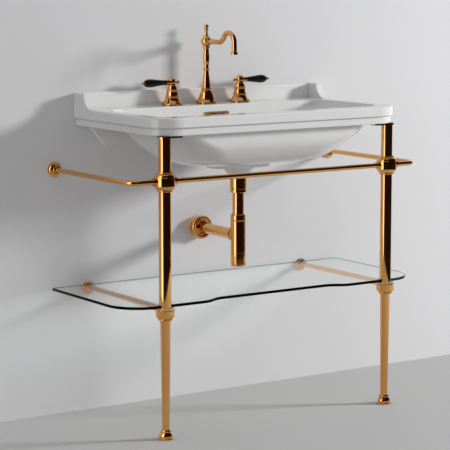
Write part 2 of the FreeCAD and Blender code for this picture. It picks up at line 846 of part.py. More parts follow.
def spout_swan():
    """The turning hub and the swan-neck tube, bored through, with a stem down into the column."""
    ball = Part.makeSphere(hub_ball_radius).common(rod(hub_ball_radius + 1, -hub_ball_rise, finial_seat))
    seat = rod(hub_seat_radius, 0, hub_ball_rise)
    stem = rod(spout_stem_radius, -spout_stem_length, hub_ball_rise)
    body = placed(ball, 0, tap_y, hub_centre).fuse([
        placed(seat, 0, tap_y, hub_seat),
        placed(stem, 0, tap_y, hub_seat),
        swept(swan_path(), swan_radius),
    ])
    nozzle = turned(
        (0, 0),
        (nozzle_radius, 0),
        (nozzle_radius, nozzle_height * 0.35),
        ((nozzle_radius - 0.8, nozzle_height * 0.6), (swan_radius, nozzle_height)),
        (0, nozzle_height),
    )
    collar = along(swan_radius + 1.6, V(0, tap_y - hub_ball_radius + 1, swan_start),
                   V(0, tap_y - hub_ball_radius - 4, swan_start))
    outlet = placed(nozzle, 0, tap_y - swan_reach, nozzle_low)
    body = body.fuse([outlet, collar])
    ways = swept(swan_path(), swan_bore_radius).fuse([
        placed(rod(swan_bore_radius, -spout_stem_length - 1, swan_start_rise + 2), 0, tap_y, hub_seat),
        placed(rod(aerator_radius + glue_gap, -1, aerator_height), 0, tap_y - swan_reach, nozzle_low),
        placed(rod(finial_screw_radius + glue_gap, finial_seat - finial_screw_length - 1, hub_ball_radius),
               0, tap_y, hub_centre),
    ])
    return body.cut(ways)


def spout_finial():
    """Turned finial screwed into the top of the hub."""
    low = hub_centre + finial_seat
    rise = finial_height
    shape = turned(
        (0, low - finial_screw_length),
        (finial_screw_radius, low - finial_screw_length),
        (finial_screw_radius, low),
        (hub_ball_radius - 6.5, low),
        (hub_ball_radius - 6.5, low + 1.5),
        ((6.4, low + rise * 0.11), (4.2, low + rise * 0.26),
         (4.6, low + rise * 0.43), (5.6, low + rise * 0.54)),
        ((6.6, low + rise * 0.59), (5.6, low + rise * 0.64)),
        (4.4, low + rise * 0.66),
        (4.4, low + rise * 0.7),
        ((6.9, low + rise * 0.78), (6.2, low + rise * 0.9), (3.4, low + rise * 0.98), (0, low + rise)),
    )
    return placed(shape, 0, tap_y, 0)


def spout_aerator():
    shape = rod(aerator_radius, 0, aerator_height - seat_gap)
    shape = shape.cut(rod(aerator_radius - 2, -1, 2))
    for ring_radius, count in ((0, 1), (3.4, 8)):
        for number in range(count):
            turn = 2 * math.pi * number / count
            x = ring_radius * math.cos(turn)
            y = ring_radius * math.sin(turn)
            shape = shape.cut(placed(rod(0.8, -1, aerator_height + 1), x, y, 0))
    return placed(shape, 0, tap_y - swan_reach, nozzle_low)


def spout_shank():
    shape = tube(shank_radius, shank_bore_radius, rim_height - shank_drop, tap_seat + shank_rise)
    return placed(shape, 0, tap_y, 0)


def mixer_tee():
    """Block at the foot of the spout's shank that gathers the hot and cold pipes."""
    low = link_height - tee_radius
    block = rod(tee_radius, low, tee_top)
    reach = link_socket_reach
    socket = along(link_socket_radius, V(-reach, 0, link_height), V(reach, 0, link_height))
    body = block.fuse(socket)
    seat = rod(shank_radius + glue_gap, rim_height - shank_drop, tee_top + 1)
    water = rod(shank_bore_radius, link_height - 2, tee_top)
    cross = along(link_pipe_radius - link_pipe_wall, V(-reach, 0, link_height), V(reach, 0, link_height))
    body = body.cut([seat, water, cross])
    for _, sign in SIDES:
        start = V(sign * (tee_radius + 1), 0, link_height)
        mouth = V(sign * (reach + 1), 0, link_height)
        body = body.cut(along(link_pipe_radius + glue_gap, start, mouth))
    return placed(body, 0, tap_y, 0)


def link_pipes():
    pipes = []
    for _, sign in SIDES:
        start = V(sign * (tee_radius + 1 + seat_gap), tap_y, link_height)
        end = V(sign * (tap_x - shank_radius - seat_gap - 1), tap_y, link_height)
        pipes.append(along(link_pipe_radius, start, end)
                     .cut(along(link_pipe_radius - link_pipe_wall, start, end)))
    return Part.makeCompound(pipes)


def valve_shank(sign):
    """Valve body below the deck: threaded shank, side socket to the spout, threaded inlet tail."""
    low = link_height - link_socket_radius - 3
    body = rod(shank_radius, low, tap_seat + shank_rise)
    tail = rod(tail_radius, low - tail_length, low)
    mouth = V(-sign * link_socket_reach, 0, link_height)
    inner = V(-sign * (shank_radius + 1), 0, link_height)
    body = body.fuse([tail, along(link_socket_radius, V(0, 0, link_height), mouth)])
    body = body.cut([
        rod(shank_bore_radius, low - tail_length - 1, tap_seat + shank_rise + 1),
        along(link_pipe_radius - link_pipe_wall, V(0, 0, link_height), mouth),
        along(link_pipe_radius + glue_gap, inner, mouth + V(-sign, 0, 0)),
    ])
    return placed(body, sign * tap_x, tap_y, 0)


def deck_rings(make):
    return Part.makeCompound([placed(make(), x, tap_y, 0) for x in (-tap_x, 0, tap_x)])


def deck_gasket():
    return tube(pillar_base_radius - 3, shank_radius + glue_gap, rim_height, tap_seat)


def deck_nut():
    low = deck_underside - deck_nut_height
    nut = hexagon(deck_nut_across_flats, low, deck_underside)
    return nut.cut(rod(shank_radius + glue_gap, low - 1, rim_height))


def pillar(sign):
    """Bell-footed pillar of a side valve."""
    foot = pillar_base_radius
    top = pillar_height
    band = 25
    run = top - 12 - band
    shape = turned(
        (foot, 0),
        (foot, 2.5),
        ((foot - 1, 4), (foot - 4.5, 8), (foot - 8.5, 13.5), (foot - 11.5, 19)),
        (foot - 10.5, 20.2),
        ((foot - 9.8, 22), (foot - 10.5, 23.8)),
        (foot - 12.3, band),
        ((foot - 13.4, band + run * 0.43), (foot - 13.8, band + run * 0.79), (foot - 13.6, top - 12)),
        ((foot - 12.8, top - 10.4), (foot - 13.6, top - 8.8)),
        (foot - 15, top - 8),
        (foot - 16.8, top),
        (cartridge_radius + glue_gap, top),
        (cartridge_radius + glue_gap, cartridge_low),
        (shank_bore_radius, cartridge_low),
        (shank_bore_radius, shank_rise + seat_gap),
        (shank_radius + glue_gap, shank_rise + seat_gap),
        (shank_radius + glue_gap, 0),
    )
    return placed(shape, sign * tap_x, tap_y, tap_seat)


def cartridge(sign):
    """Valve insert in the pillar, bored for the lever's spindle."""
    shape = rod(cartridge_radius, cartridge_low, pillar_height)
    hole_low = pillar_height - spindle_length - 1
    shape = shape.cut(rod(spindle_radius + running_gap, hole_low, pillar_height + 1))
    shape = shape.cut(rod(shank_bore_radius - 1, cartridge_low - 1, cartridge_low + 3))
    return placed(shape, sign * tap_x, tap_y, tap_seat)


def lever_hub(sign):
    """Turning head of a valve: drum, socket for the grip, small knob opposite, spindle below."""
    radius = lever_hub_radius
    low = pillar_top + seat_gap
    top = lever_height + lever_hub_height / 2 - 2
    drum = turned(
        (0, low - spindle_length),
        (spindle_radius, low - spindle_length),
        (spindle_radius, low),
        (radius + 0.8, low),
        (radius + 0.8, low + 2),
        ((radius - 1.4, low + 6.5), (radius, lever_height)),
        ((radius - 1, top - 3), (radius - 2, top)),
        (0, top),
    )
    axis = V(0, 0, lever_height)
    socket = along(grip_neck_radius + 0.8, axis, axis + V(sign * lever_socket_reach, 0, 0))
    neck = along(inner_knob_radius * 0.6, axis, axis + V(-sign * inner_knob_reach, 0, 0))
    knob = Part.makeSphere(inner_knob_radius, axis + V(-sign * inner_knob_reach, 0, 0))
    body = drum.fuse([socket, neck, knob])
    pin = along(grip_pin_radius + glue_gap, axis + V(sign * (lever_socket_reach - 10), 0, 0),
                axis + V(sign * (lever_socket_reach + 1), 0, 0))
    screw = rod(cap_screw_radius + glue_gap, top - 5, top + 1)
    return placed(body.cut([pin, screw]), sign * tap_x, tap_y, 0)


def lever_grip(sign):
    """Spindle-shaped handle, thickest near its outer end, with a pin into the hub."""
    length = grip_length
    radius = grip_radius
    neck = grip_neck_radius
    shape = turned(
        (0, -9),
        (grip_pin_radius, -9),
        (grip_pin_radius, 0),
        (neck, 0),
        ((neck + 0.2, length * 0.12), (neck + 1.3, length * 0.28), (radius - 1.4, length * 0.5),
         (radius, length * 0.72), (radius - 1.6, length * 0.88), (tip_radius + 0.6, length)),
        (tip_radius * 0.5 + glue_gap, length),
        (tip_radius * 0.5 + glue_gap, length - 6),
        (0, length - 6),
    )
    x = sign * (tap_x + lever_socket_reach)
    return placed(shape, x, tap_y, lever_height, V(sign, 0, 0))


def lever_tip(sign):
    radius = tip_radius
    shape = turned(
        (0, -5),
        (radius * 0.5, -5),
        (radius * 0.5, 0),
        (radius + 0.4, 0),
        (radius + 0.4, 1.2),
        (radius * 0.6, 2),
        ((radius, 2 + radius * 0.8), (0, 2 + radius * 1.8)),
    )
    x = sign * (tap_x + lever_socket_reach + grip_length)
    return placed(shape, x, tap_y, lever_height, V(sign, 0, 0))


def lever_cap(sign):
    """Round cap on top of a lever's hub; its face is plain."""
    low = lever_height + lever_hub_height / 2 - 2
    radius = lever_hub_radius
    shape = turned(
        (0, low - 4),
        (cap_screw_radius, low - 4),
        (cap_screw_radius, low),
        (radius - 0.5, low),
        (radius - 0.5, low + 1.5),
        dome(radius - 0.5, low + 1.5, cap_height - 1.5),
    )
    return placed(shape, sign * tap_x, tap_y, 0)


# ---------------------------------------------------------------- stand
def plate_outline(sign, inset, low, high):
    """A disc over the post with a round-ended tab that reaches inwards under the rim."""
    disc = rod(post_radius + 3.5 - inset, low, high)
    half = top_plate_end_radius - inset
    reach = top_plate_reach - top_plate_end_radius
    tab = Part.makeBox(reach, 2 * half, high - low, V(0 if sign < 0 else -reach, -half, low))
    end = placed(rod(half, low, high), -sign * reach, 0, 0)
    return placed(disc.fuse([tab, end]).removeSplitter(), sign * post_x, post_y, 0)


def top_plate(sign):
    return plate_outline(sign, 0, post_top, post_top + top_plate_thickness)


def basin_pads():
    low = post_top + top_plate_thickness
    return Part.makeCompound([plate_outline(sign, 1.0, low, rim_underside) for _, sign in SIDES])


def post_upper(sign):
    shape = tube(post_radius, post_radius - post_wall, knuckle_top - socket_depth, post_top)
    return placed(shape, sign * post_x, post_y, 0)


def knuckle(sign):
    """Turned joint in the post that takes the rails from both sides."""
    half = knuckle_height / 2
    drum = knuckle_drum / 2
    ring = knuckle_ring_radius
    radius = knuckle_radius
    shape = turned(
        (0, -half),
        (ring, -half),
        (ring + 0.8, -half + 2),
        (ring, -half + 4),
        (ring + 0.6, -half + 5),
        ((radius - 2.2, -drum - 4.5), (radius - 0.8, -drum)),
        (radius, -drum + 1),
        (radius, drum - 1),
        (radius - 0.8, drum),
        ((radius - 2.2, drum + 4.5), (ring + 0.6, half - 5)),
        (ring, half - 4),
        (ring + 0.8, half - 2),
        (ring, half),
        (0, half),
    )
    reach = knuckle_reach
    shape = shape.fuse(along(knuckle_socket_radius, V(-reach, 0, 0), V(reach, 0, 0)))
    for end in (-1, 1):
        mouth = V(end * (reach + 1), 0, 0)
        shape = shape.cut(along(rail_radius + glue_gap, V(end * (reach - socket_depth), 0, 0), mouth))
        shape = shape.cut(rod(post_radius + glue_gap, half - socket_depth, half + 1)
                          if end > 0 else rod(post_radius + glue_gap, -half - 1, -half + socket_depth))
    return placed(shape, sign * post_x, post_y, rail_height)


def post_middle(sign):
    low = collar_top - collar_socket_depth
    shape = tube(post_radius, post_radius - post_wall, low, knuckle_bottom + socket_depth)
    return placed(shape, sign * post_x, post_y, 0)


def shelf_collar(sign):
    """Turned collar under the glass: it joins post and leg and takes the shelf rail from behind."""
    radius = collar_radius
    neck = collar_neck_radius
    shape = turned(
        (0, collar_bottom - collar_neck_height),
        (neck - 3, collar_bottom - collar_neck_height),
        ((neck - 0.6, collar_bottom - collar_neck_height + 2.2), (neck - 1, collar_bottom)),
        (neck + 1, collar_bottom),
        ((radius - 1.6, collar_bottom + 3.2), (radius, collar_bottom + 8)),
        (radius, collar_top - 5.5),
        (radius - 1.2, collar_top - 4.5),
        (radius - 1.2, collar_top - 3.2),
        (radius, collar_top - 2.2),
        (radius, collar_top - 0.6),
        (radius - 0.6, collar_top),
        (0, collar_top),
    )
    rail = along(rail_radius + glue_gap, V(0, collar_radius - collar_rail_depth, shelf_rail_height),
                 V(0, collar_radius + 1, shelf_rail_height))
    leg_hole_top = collar_bottom - collar_neck_height + leg_tenon
    shape = shape.cut([
        rod(post_radius + glue_gap, collar_top - collar_socket_depth, collar_top + 1),
        rod(leg_top_radius + glue_gap, 0, leg_hole_top),
        rail,
    ])
    return placed(shape, sign * post_x, post_y, 0)


def leg(sign):
    """Tapered lower leg, with a plain tenon into the collar and one into the foot."""
    top = collar_bottom - collar_neck_height
    taper = turned(
        (0, foot_height - foot_tenon),
        (leg_bottom_radius, foot_height - foot_tenon),
        (leg_bottom_radius, foot_height),
        (leg_top_radius, top),
        (leg_top_radius, top + leg_tenon - seat_gap),
        (0, top + leg_tenon - seat_gap),
    )
    return placed(taper, sign * post_x, post_y, 0)


def foot(sign):
    """Domed foot on a round base."""
    radius = foot_radius
    height = foot_height
    top_radius = leg_bottom_radius + 4
    shape = turned(
        (0, 0),
        (radius - 1, 0),
        (radius, 1),
        (radius, foot_pad - 0.8),
        (radius - 0.8, foot_pad),
        (radius - 3.5, foot_pad + 1.2),
        ((radius - 4.4, foot_pad + 9), (top_radius + 0.5, height - 8)),
        (top_radius - 0.6, height - 6.5),
        ((top_radius + 1.2, height - 3.6), (top_radius, height - 0.8)),
        (top_radius - 0.8, height),
        (0, height),
    )
    shape = shape.cut(rod(leg_bottom_radius + glue_gap, height - foot_tenon - seat_gap, height + 1))
    return placed(shape, sign * post_x, post_y, 0)


def fixing_hole(x, height):
    """Blind hole in a rail's wall end for the stud that holds it to the wall."""
    start = V(x, wall_y + 1, height)
    return along(rail_fixing_radius, start, start - V(0, rail_fixing_depth + 1, 0))


def rail_arm(sign):
    """Side of the towel rail: out from the wall, round a bend, into the knuckle."""
    x = rail_spacing / 2
    bend = rail_bend_radius
    middle = bend * (1 - math.sqrt(0.5))
    end_x = post_x + knuckle_reach - socket_depth + seat_gap
    steps = (
        (x, post_y + bend),
        ((x - middle, post_y + middle), (x - bend, post_y)),
        (end_x, post_y),
    )
    path = edge_chain((x, wall_y), steps, lambda place: V(sign * place[0], place[1], rail_height))
    return swept(path, rail_radius).cut(fixing_hole(sign * x, rail_height))


def rail_front():
    end = post_x - knuckle_reach + socket_depth - seat_gap
    return along(rail_radius, V(-end, post_y, rail_height), V(end, post_y, rail_height))


def shelf_rail(sign):
    x = sign * post_x
    end = post_y + collar_radius - collar_rail_depth + seat_gap
    bar = along(rail_radius, V(x, wall_y, shelf_rail_height), V(x, end, shelf_rail_height))
    return bar.cut(fixing_hole(x, shelf_rail_height))


def wall_roses():
    """Covers round the four rail ends at the wall."""
    radius = rose_radius
    neck = rail_radius + 3
    shape = turned(
        (rail_radius + glue_gap, 0),
        (radius, 0),
        (radius, 2.5),
        (radius - 1.5, 3.5),
        ((radius - 3.2, 7.4), (neck + 1.4, rose_depth - 4)),
        (neck, rose_depth - 3),
        (neck, rose_depth - 0.8),
        (neck - 0.8, rose_depth),
        (rail_radius + glue_gap, rose_depth),
    )
    roses = []
    for _, sign in SIDES:
        roses.append(placed(shape, sign * rail_spacing / 2, wall_y, rail_height, V(0, -1, 0)))
        roses.append(placed(shape, sign * post_x, wall_y, shelf_rail_height, V(0, -1, 0)))
    return Part.makeCompound(roses)


# ---------------------------------------------------------------- glass shelf
def glass_wave(sign):
    """Steps of the front edge from the middle outwards on one side: an S-curve of two equal arcs."""
    step = glass_front_setback - glass_middle_setback
    inner = glass_middle_width / 2
    outer = inner + glass_wave_width
    radius = (glass_wave_width ** 2 + step ** 2) / (4 * step)
    half_turn = math.asin(glass_wave_width / 2 / radius) / 2
    reach = radius * math.sin(half_turn)
    fall = radius * (1 - math.cos(half_turn))
    high = wall_y - glass_middle_setback
    low = wall_y - glass_front_setback
    places = (
        (inner, high),
        (inner + reach, high - fall),
        ((inner + outer) / 2, (high + low) / 2),
        (outer - reach, low + fall),
        (outer, low),
    )
    return [(sign * x, y) for x, y in places]


def glass_shelf():
    half = glass_width / 2
    back = wall_y - glass_back_gap
    front = wall_y - glass_front_setback
    corner = glass_corner_radius
    bulge = corner * math.sqrt(0.5)
    left = glass_wave(-1)
    right = glass_wave(1)
    start = (half, back)
    steps = (
        (-half, back),
        (-half, front + corner),
        ((-half + corner - bulge, front + corner - bulge), (-half + corner, front)),
        left[4],
        (left[3], left[2]),
        (left[1], left[0]),
        right[0],
        (right[1], right[2]),
        (right[3], right[4]),
        (half - corner, front),
        ((half - corner + bulge, front + corner - bulge), (half, front + corner)),
        start,
    )
    edges = edge_chain(start, steps, lambda place: V(place[0], place[1], glass_height))
    sheet = Part.Face(Part.Wire(edges)).extrude(V(0, 0, glass_thickness))
    for height in (glass_height, glass_height + glass_thickness):
        sheet = softened(sheet, glass_arris, height)
    for _, sign in SIDES:
        notch = rod(post_radius + glass_post_clearance, glass_height - 1, glass_height + glass_thickness + 1)
        sheet = sheet.cut(placed(notch, sign * post_x, post_y, 0))
    return sheet


def shelf_pads():
    """Clear rings between the collars and the glass."""
    ring = tube(collar_radius - 1.5, post_radius + glass_post_clearance, collar_top, glass_height)
    return Part.makeCompound([placed(ring, sign * post_x, post_y, 0) for _, sign in SIDES])


# ---------------------------------------------------------------- all the pieces
def build():
    nodes = {
        "basin": basin(),
        "overflow_ring": overflow_ring(),
        "waste_body": waste_body(),
        "waste_plug": waste_plug(),
        "waste_nut": waste_nut(),
        "seals": seals(),
        "trap_inlet_nut": trap_inlet_nut(),
        "trap_inlet_pipe": trap_inlet_pipe(),
        "trap_body": trap_body(),
        "trap_cup": trap_cup(),
        "trap_outlet_nut": trap_outlet_nut(),
        "trap_outlet_pipe": trap_outlet_pipe(),
        "trap_wall_flange": trap_wall_flange(),
        "spout_column": spout_column(),
        "spout_swan": spout_swan(),
        "spout_finial": spout_finial(),
        "spout_aerator": spout_aerator(),
        "spout_shank": spout_shank(),
        "mixer_tee": mixer_tee(),
        "link_pipes": link_pipes(),
        "deck_gaskets": deck_rings(deck_gasket),
        "deck_nuts": deck_rings(deck_nut),
        "rail_front": rail_front(),
        "basin_pads": basin_pads(),
        "wall_roses": wall_roses(),
        "glass_shelf": glass_shelf(),
        "shelf_pads": shelf_pads(),
    }
    for water, sign in (("hot", -1), ("cold", 1)):
        nodes[water + "_pillar"] = pillar(sign)
        nodes[water + "_shank"] = valve_shank(sign)
        nodes[water + "_cartridge"] = cartridge(sign)
        nodes[water + "_lever_hub"] = lever_hub(sign)
        nodes[water + "_lever_grip"] = lever_grip(sign)
        nodes[water + "_lever_tip"] = lever_tip(sign)
        nodes[water + "_lever_cap"] = lever_cap(sign)
    for side, sign in SIDES:
        nodes["top_plate_" + side] = top_plate(sign)
        nodes["post_upper_" + side] = post_upper(sign)
        nodes["knuckle_" + side] = knuckle(sign)
        nodes["post_middle_" + side] = post_middle(sign)
        nodes["shelf_collar_" + side] = shelf_collar(sign)
        nodes["leg_" + side] = leg(sign)
        nodes["foot_" + side] = foot(sign)
        nodes["rail_arm_" + side] = rail_arm(sign)
        nodes["shelf_rail_" + side] = shelf_rail(sign)
    return nodes


os.makedirs("parts", exist_ok=True)
for name, shape in build().items():
    print("%-20s valid %s, solids %d, volume %.1f cm3" % (
        name, shape.isValid(), len(shape.Solids), shape.Volume / 1000))
    shape.exportStep("parts/%s.step" % name)
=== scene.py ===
# %% [markdown]
# # A console washbasin on turned metal legs
# This lesson dresses a finished CAD model of a traditional console washbasin: a white ceramic basin
# on two gold-plated front legs, with a three-hole tap, a towel rail and a clear glass shelf.
# The CAD model gives every piece its true shape and place, so most of the work here is finish:
# what polished plate, glaze and glass are made of, and what light they need to look like themselves.

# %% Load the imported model
import math

import bpy
import numpy as np
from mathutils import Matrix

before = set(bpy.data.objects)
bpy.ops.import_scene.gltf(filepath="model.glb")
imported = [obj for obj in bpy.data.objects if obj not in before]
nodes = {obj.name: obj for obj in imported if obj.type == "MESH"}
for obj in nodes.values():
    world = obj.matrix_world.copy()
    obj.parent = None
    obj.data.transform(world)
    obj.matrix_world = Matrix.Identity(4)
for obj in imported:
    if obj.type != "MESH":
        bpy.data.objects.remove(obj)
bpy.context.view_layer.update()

# %% [markdown]
# ## The camera
# The view is that of a long lens from a little over five metres away, to the left of the basin and
# forty centimetres above its rim, looking eight degrees down. A long lens keeps the far leg nearly as
# tall as the near one. The camera is only turned, never shifted, so that other views can reuse it.

# %% Camera
camera_place = (-2.9773, -4.3889, 1.2726)
camera_turn = math.radians(-33.77)
camera_dip = math.radians(8.01)
camera_lens = 150.7
camera_sensor = 36.0

camera_data = bpy.data.cameras.new("camera")
camera_data.lens = camera_lens
camera_data.sensor_width = camera_sensor
camera = bpy.data.objects.new("camera", camera_data)
camera.location = camera_place
camera.rotation_euler = (math.pi / 2 - camera_dip, 0.0, camera_turn)
bpy.context.scene.collection.objects.link(camera)
bpy.context.scene.camera = camera
print("camera: lens %.1f mm" % camera_lens)

# %% [markdown]
# ## The room
# The basin is fixed to a wall, so a plain wall and a plain floor stand in for the room. They are not
# part of the object. The wall is see-through from behind, so that the back of the basin can be looked
# at too, and it blocks no light, so that the back isn't black.
# Polished metal shows its surroundings. In a plain white room it looks like pale plastic, so a dark
# curtain stands in front of the object, round to the right, where only mirror reflections meet it. It
# is a painted dark reflection: a dark red-brown sheet that the camera never sees, and it draws the
# broad dark band down each tube that tells the eye that the surface is metal. A narrow card stands
# beside it on the left and glows though it is no lamp: a painted highlight, seen only in mirror
# reflections, that draws the thin bright line next to the band.

# %% Room
wall_place = 0.2075
floor_reach = 14.0
wall_reach = 7.0
wall_height = 4.0
curtain_radius = 2.5
curtain_height = 6.0
curtain_from = math.radians(-100.0)
curtain_to = math.radians(66.0)
card_from = math.radians(68.0)
card_to = math.radians(94.0)
card_height = 3.0
bend_columns = 33


def surface_object(name, points):
    """A mesh from a grid of points of shape (rows, columns, 3), one quad between each four."""
    rows, columns = points.shape[:2]
    index = np.arange(rows * columns).reshape(rows, columns)
    quads = np.stack([index[:-1, :-1], index[:-1, 1:], index[1:, 1:], index[1:, :-1]], -1)
    mesh = bpy.data.meshes.new(name)
    mesh.from_pydata(points.reshape(-1, 3), [], quads.reshape(-1, 4).tolist())
    mesh.update()
    made = bpy.data.objects.new(name, mesh)
    bpy.context.scene.collection.objects.link(made)
    return made


def flat_sheet(name, corner, side_u, side_v):
    """A rectangle: the points are corner + u * side_u + v * side_v for u and v of 0 and 1."""
    u, v = np.meshgrid([0.0, 1.0], [0.0, 1.0], indexing="ij")
    points = np.array(corner) + u[..., None] * np.array(side_u) + v[..., None] * np.array(side_v)
    return surface_object(name, points)


def standing_sheet(name, start, end, top):
    """A standing part of a cylinder: an angle from straight ahead to the left, and a height."""
    angle, height = np.meshgrid(np.linspace(start, end, bend_columns), [0.0, top], indexing="ij")
    x = -curtain_radius * np.sin(angle)
    y = -curtain_radius * np.cos(angle)
    return surface_object(name, np.stack([x, y, height], -1))


floor = flat_sheet("floor", (-floor_reach, -floor_reach, 0.0),
                   (2 * floor_reach, 0, 0), (0, 2 * floor_reach, 0))
wall = flat_sheet("wall", (-wall_reach, wall_place, 0.0), (0, 0, wall_height), (2 * wall_reach, 0, 0))
# The curtain is a painted dark reflection: a dark sheet that only mirror reflections meet.
dark_reflection_curtain = standing_sheet("dark_reflection_curtain", curtain_from, curtain_to, curtain_height)
# The card glows though it is no lamp: a painted highlight that only mirror reflections meet.
glowing_highlight_card = standing_sheet("glowing_highlight_card", card_from, card_to, card_height)
wall.visible_diffuse = False
wall.visible_shadow = False
for sheet in (dark_reflection_curtain, glowing_highlight_card):
    sheet.visible_camera = False
    sheet.visible_diffuse = False
    sheet.visible_transmission = False
    sheet.visible_shadow = False
print("room: wall at y = %.4f m" % wall_place)

# %% [markdown]
# ## Tools for materials
# Each finish is a network of shader nodes. A short helper makes a material with its one Principled
# shader. An effect that several finishes share is a node group: a box of nodes with named inputs and
# outputs, built once.

# %% Helpers for materials


def new_material(name):
    """A material with one Principled shader; returns the material, its node tree and the shader."""
    material = bpy.data.materials.new(name)
    material.use_nodes = True
    tree = material.node_tree
    tree.nodes.clear()
    shader = tree.nodes.new("ShaderNodeBsdfPrincipled")
    output = tree.nodes.new("ShaderNodeOutputMaterial")
    tree.links.new(shader.outputs[0], output.inputs["Surface"])
    return material, tree, shader


def surface_input(tree):
    """The socket of the material's output that takes its surface."""
    return next(node for node in tree.nodes if node.type == "OUTPUT_MATERIAL").inputs["Surface"]


def new_group(name, inputs, outputs):
    """An empty shader group; inputs are (name, socket type, default) and outputs (name, type)."""
    group = bpy.data.node_groups.new(name, "ShaderNodeTree")
    for label, kind, default in inputs:
        group.interface.new_socket(label, in_out="INPUT", socket_type=kind).default_value = default
    for label, kind in outputs:
        group.interface.new_socket(label, in_out="OUTPUT", socket_type=kind)
    return group, group.nodes.new("NodeGroupInput"), group.nodes.new("NodeGroupOutput")


def set_inputs(node, **values):
    """Set a node's inputs by name; an underscore in a keyword stands for a space."""
    for label, value in values.items():
        node.inputs[label.replace("_", " ")].default_value = value


def place_group(tree, group, **values):
    """A group's node in a tree, with its inputs set by name."""
    node = tree.nodes.new("ShaderNodeGroup")
    node.node_tree = group
    set_inputs(node, **values)
    return node


def noise(tree, vector, scale, detail=2.0):
    """Noise of a scale over a vector; returns its value socket."""
    node = tree.nodes.new("ShaderNodeTexNoise")
    set_inputs(node, Scale=scale, Detail=detail)
    tree.links.new(vector, node.inputs["Vector"])
    return node.outputs["Fac"]


def value_map(tree, value, low, high, from_low=0.3, from_high=0.7):
    """Stretch a value from one range to another, where low and high may be sockets or numbers."""
    node = tree.nodes.new("ShaderNodeMapRange")
    tree.links.new(value, node.inputs["Value"])
    bounds = {"From Min": from_low, "From Max": from_high, "To Min": low, "To Max": high}
    for label, bound in bounds.items():
        if isinstance(bound, bpy.types.NodeSocket):
            tree.links.new(bound, node.inputs[label])
        else:
            node.inputs[label].default_value = bound
    return node.outputs["Result"]


print("helpers ready")

# %% [markdown]
# ## Marks of polishing
# Polished plate is never quite even. The wheel leaves hair-fine lines along a drawn tube and round a
# turned piece, and hands and cloths leave soft smears. Both change only how sharp the mirror is, so the
# group gives a roughness, a height for a bump, and a slow mask for small differences of tone.
# The lines come from noise that is stretched along the lines' own direction.

# %% Group: polish marks
smear_scale = 14.0
slow_scale = 4.0
polish_group, g_in, g_out = new_group(
    "polish_marks",
    [("Stretch", "NodeSocketVector", (8.0, 8.0, 900.0)), ("Smooth", "NodeSocketFloat", 0.05),
     ("Smeared", "NodeSocketFloat", 0.12)],
    [("Roughness", "NodeSocketFloat"), ("Height", "NodeSocketFloat"), ("Tone", "NodeSocketFloat")])
coordinates = polish_group.nodes.new("ShaderNodeTexCoord")
stretched = polish_group.nodes.new("ShaderNodeVectorMath")
stretched.operation = "MULTIPLY"
polish_group.links.new(coordinates.outputs["Object"], stretched.inputs[0])
polish_group.links.new(g_in.outputs["Stretch"], stretched.inputs[1])
lines = noise(polish_group, stretched.outputs[0], 1.0, 3.0)
smears = noise(polish_group, coordinates.outputs["Object"], smear_scale, 3.0)
slow = noise(polish_group, coordinates.outputs["Object"], slow_scale, 1.0)
roughness = value_map(polish_group, smears, g_in.outputs["Smooth"], g_in.outputs["Smeared"], 0.45, 0.75)
polish_group.links.new(roughness, g_out.inputs["Roughness"])
polish_group.links.new(lines, g_out.inputs["Height"])
polish_group.links.new(value_map(polish_group, slow, 0.0, 1.0), g_out.inputs["Tone"])
print("group:", polish_group.name)

# %% [markdown]
# ## Gold plate
# The plate is a warm, slightly red gold over brass. Gold is a metal without a colour of its own:
# it tints what it reflects. Its tone drifts a little between a clear gold and a redder one, as plating
# does with its thickness. Each way that a piece is made has its own direction of lines.

# %% Gold finishes
gold_clear = (0.88, 0.48, 0.165, 1.0)
gold_red = (0.80, 0.39, 0.12, 1.0)


def add_bump(tree, shader, height, distance):
    """Let a height socket tilt the shader's normal; distance is the relief in metres."""
    bump = tree.nodes.new("ShaderNodeBump")
    set_inputs(bump, Strength=1.0, Distance=distance)
    tree.links.new(height, bump.inputs["Height"])
    tree.links.new(bump.outputs["Normal"], shader.inputs["Normal"])


def mix_colours(tree, factor, first, second):
    """A colour socket that goes from first to second as the factor socket goes from 0 to 1."""
    mixer = tree.nodes.new("ShaderNodeMix")
    mixer.data_type = "RGBA"
    mixer.inputs["A"].default_value = first
    mixer.inputs["B"].default_value = second
    tree.links.new(factor, mixer.inputs["Factor"])
    return mixer.outputs["Result"]


def gold_finish(name, stretch, smooth=0.035, smeared=0.09, depth=0.000012):
    """Polished gold whose lines follow the direction in which the noise is stretched least."""
    material, tree, shader = new_material(name)
    shader.inputs["Metallic"].default_value = 1.0
    marks = place_group(tree, polish_group, Stretch=stretch, Smooth=smooth, Smeared=smeared)
    tree.links.new(marks.outputs["Roughness"], shader.inputs["Roughness"])
    tree.links.new(mix_colours(tree, marks.outputs["Tone"], gold_clear, gold_red),
                   shader.inputs["Base Color"])
    add_bump(tree, shader, marks.outputs["Height"], depth)
    return material


gold = {
    "drawn_up": gold_finish("gold_drawn_upright", (700.0, 700.0, 9.0)),
    "drawn_across": gold_finish("gold_drawn_across", (9.0, 700.0, 700.0)),
    "drawn_deep": gold_finish("gold_drawn_to_wall", (700.0, 9.0, 700.0)),
    "turned_up": gold_finish("gold_turned_upright", (12.0, 12.0, 1100.0)),
    "turned_deep": gold_finish("gold_turned_to_wall", (12.0, 1100.0, 12.0)),
    "turned_across": gold_finish("gold_turned_across", (1100.0, 12.0, 12.0)),
    "cast": gold_finish("gold_cast", (160.0, 160.0, 160.0), 0.04, 0.10, 0.00001),
}
print("gold finishes:", len(gold))

# %% [markdown]
# ## Glaze
# Glaze is a film of glass melted over clay. It is glossy, but it settles unevenly, so reflections in
# it waver. The white of the basin and the black of the two grips share this, so the waver is a group.

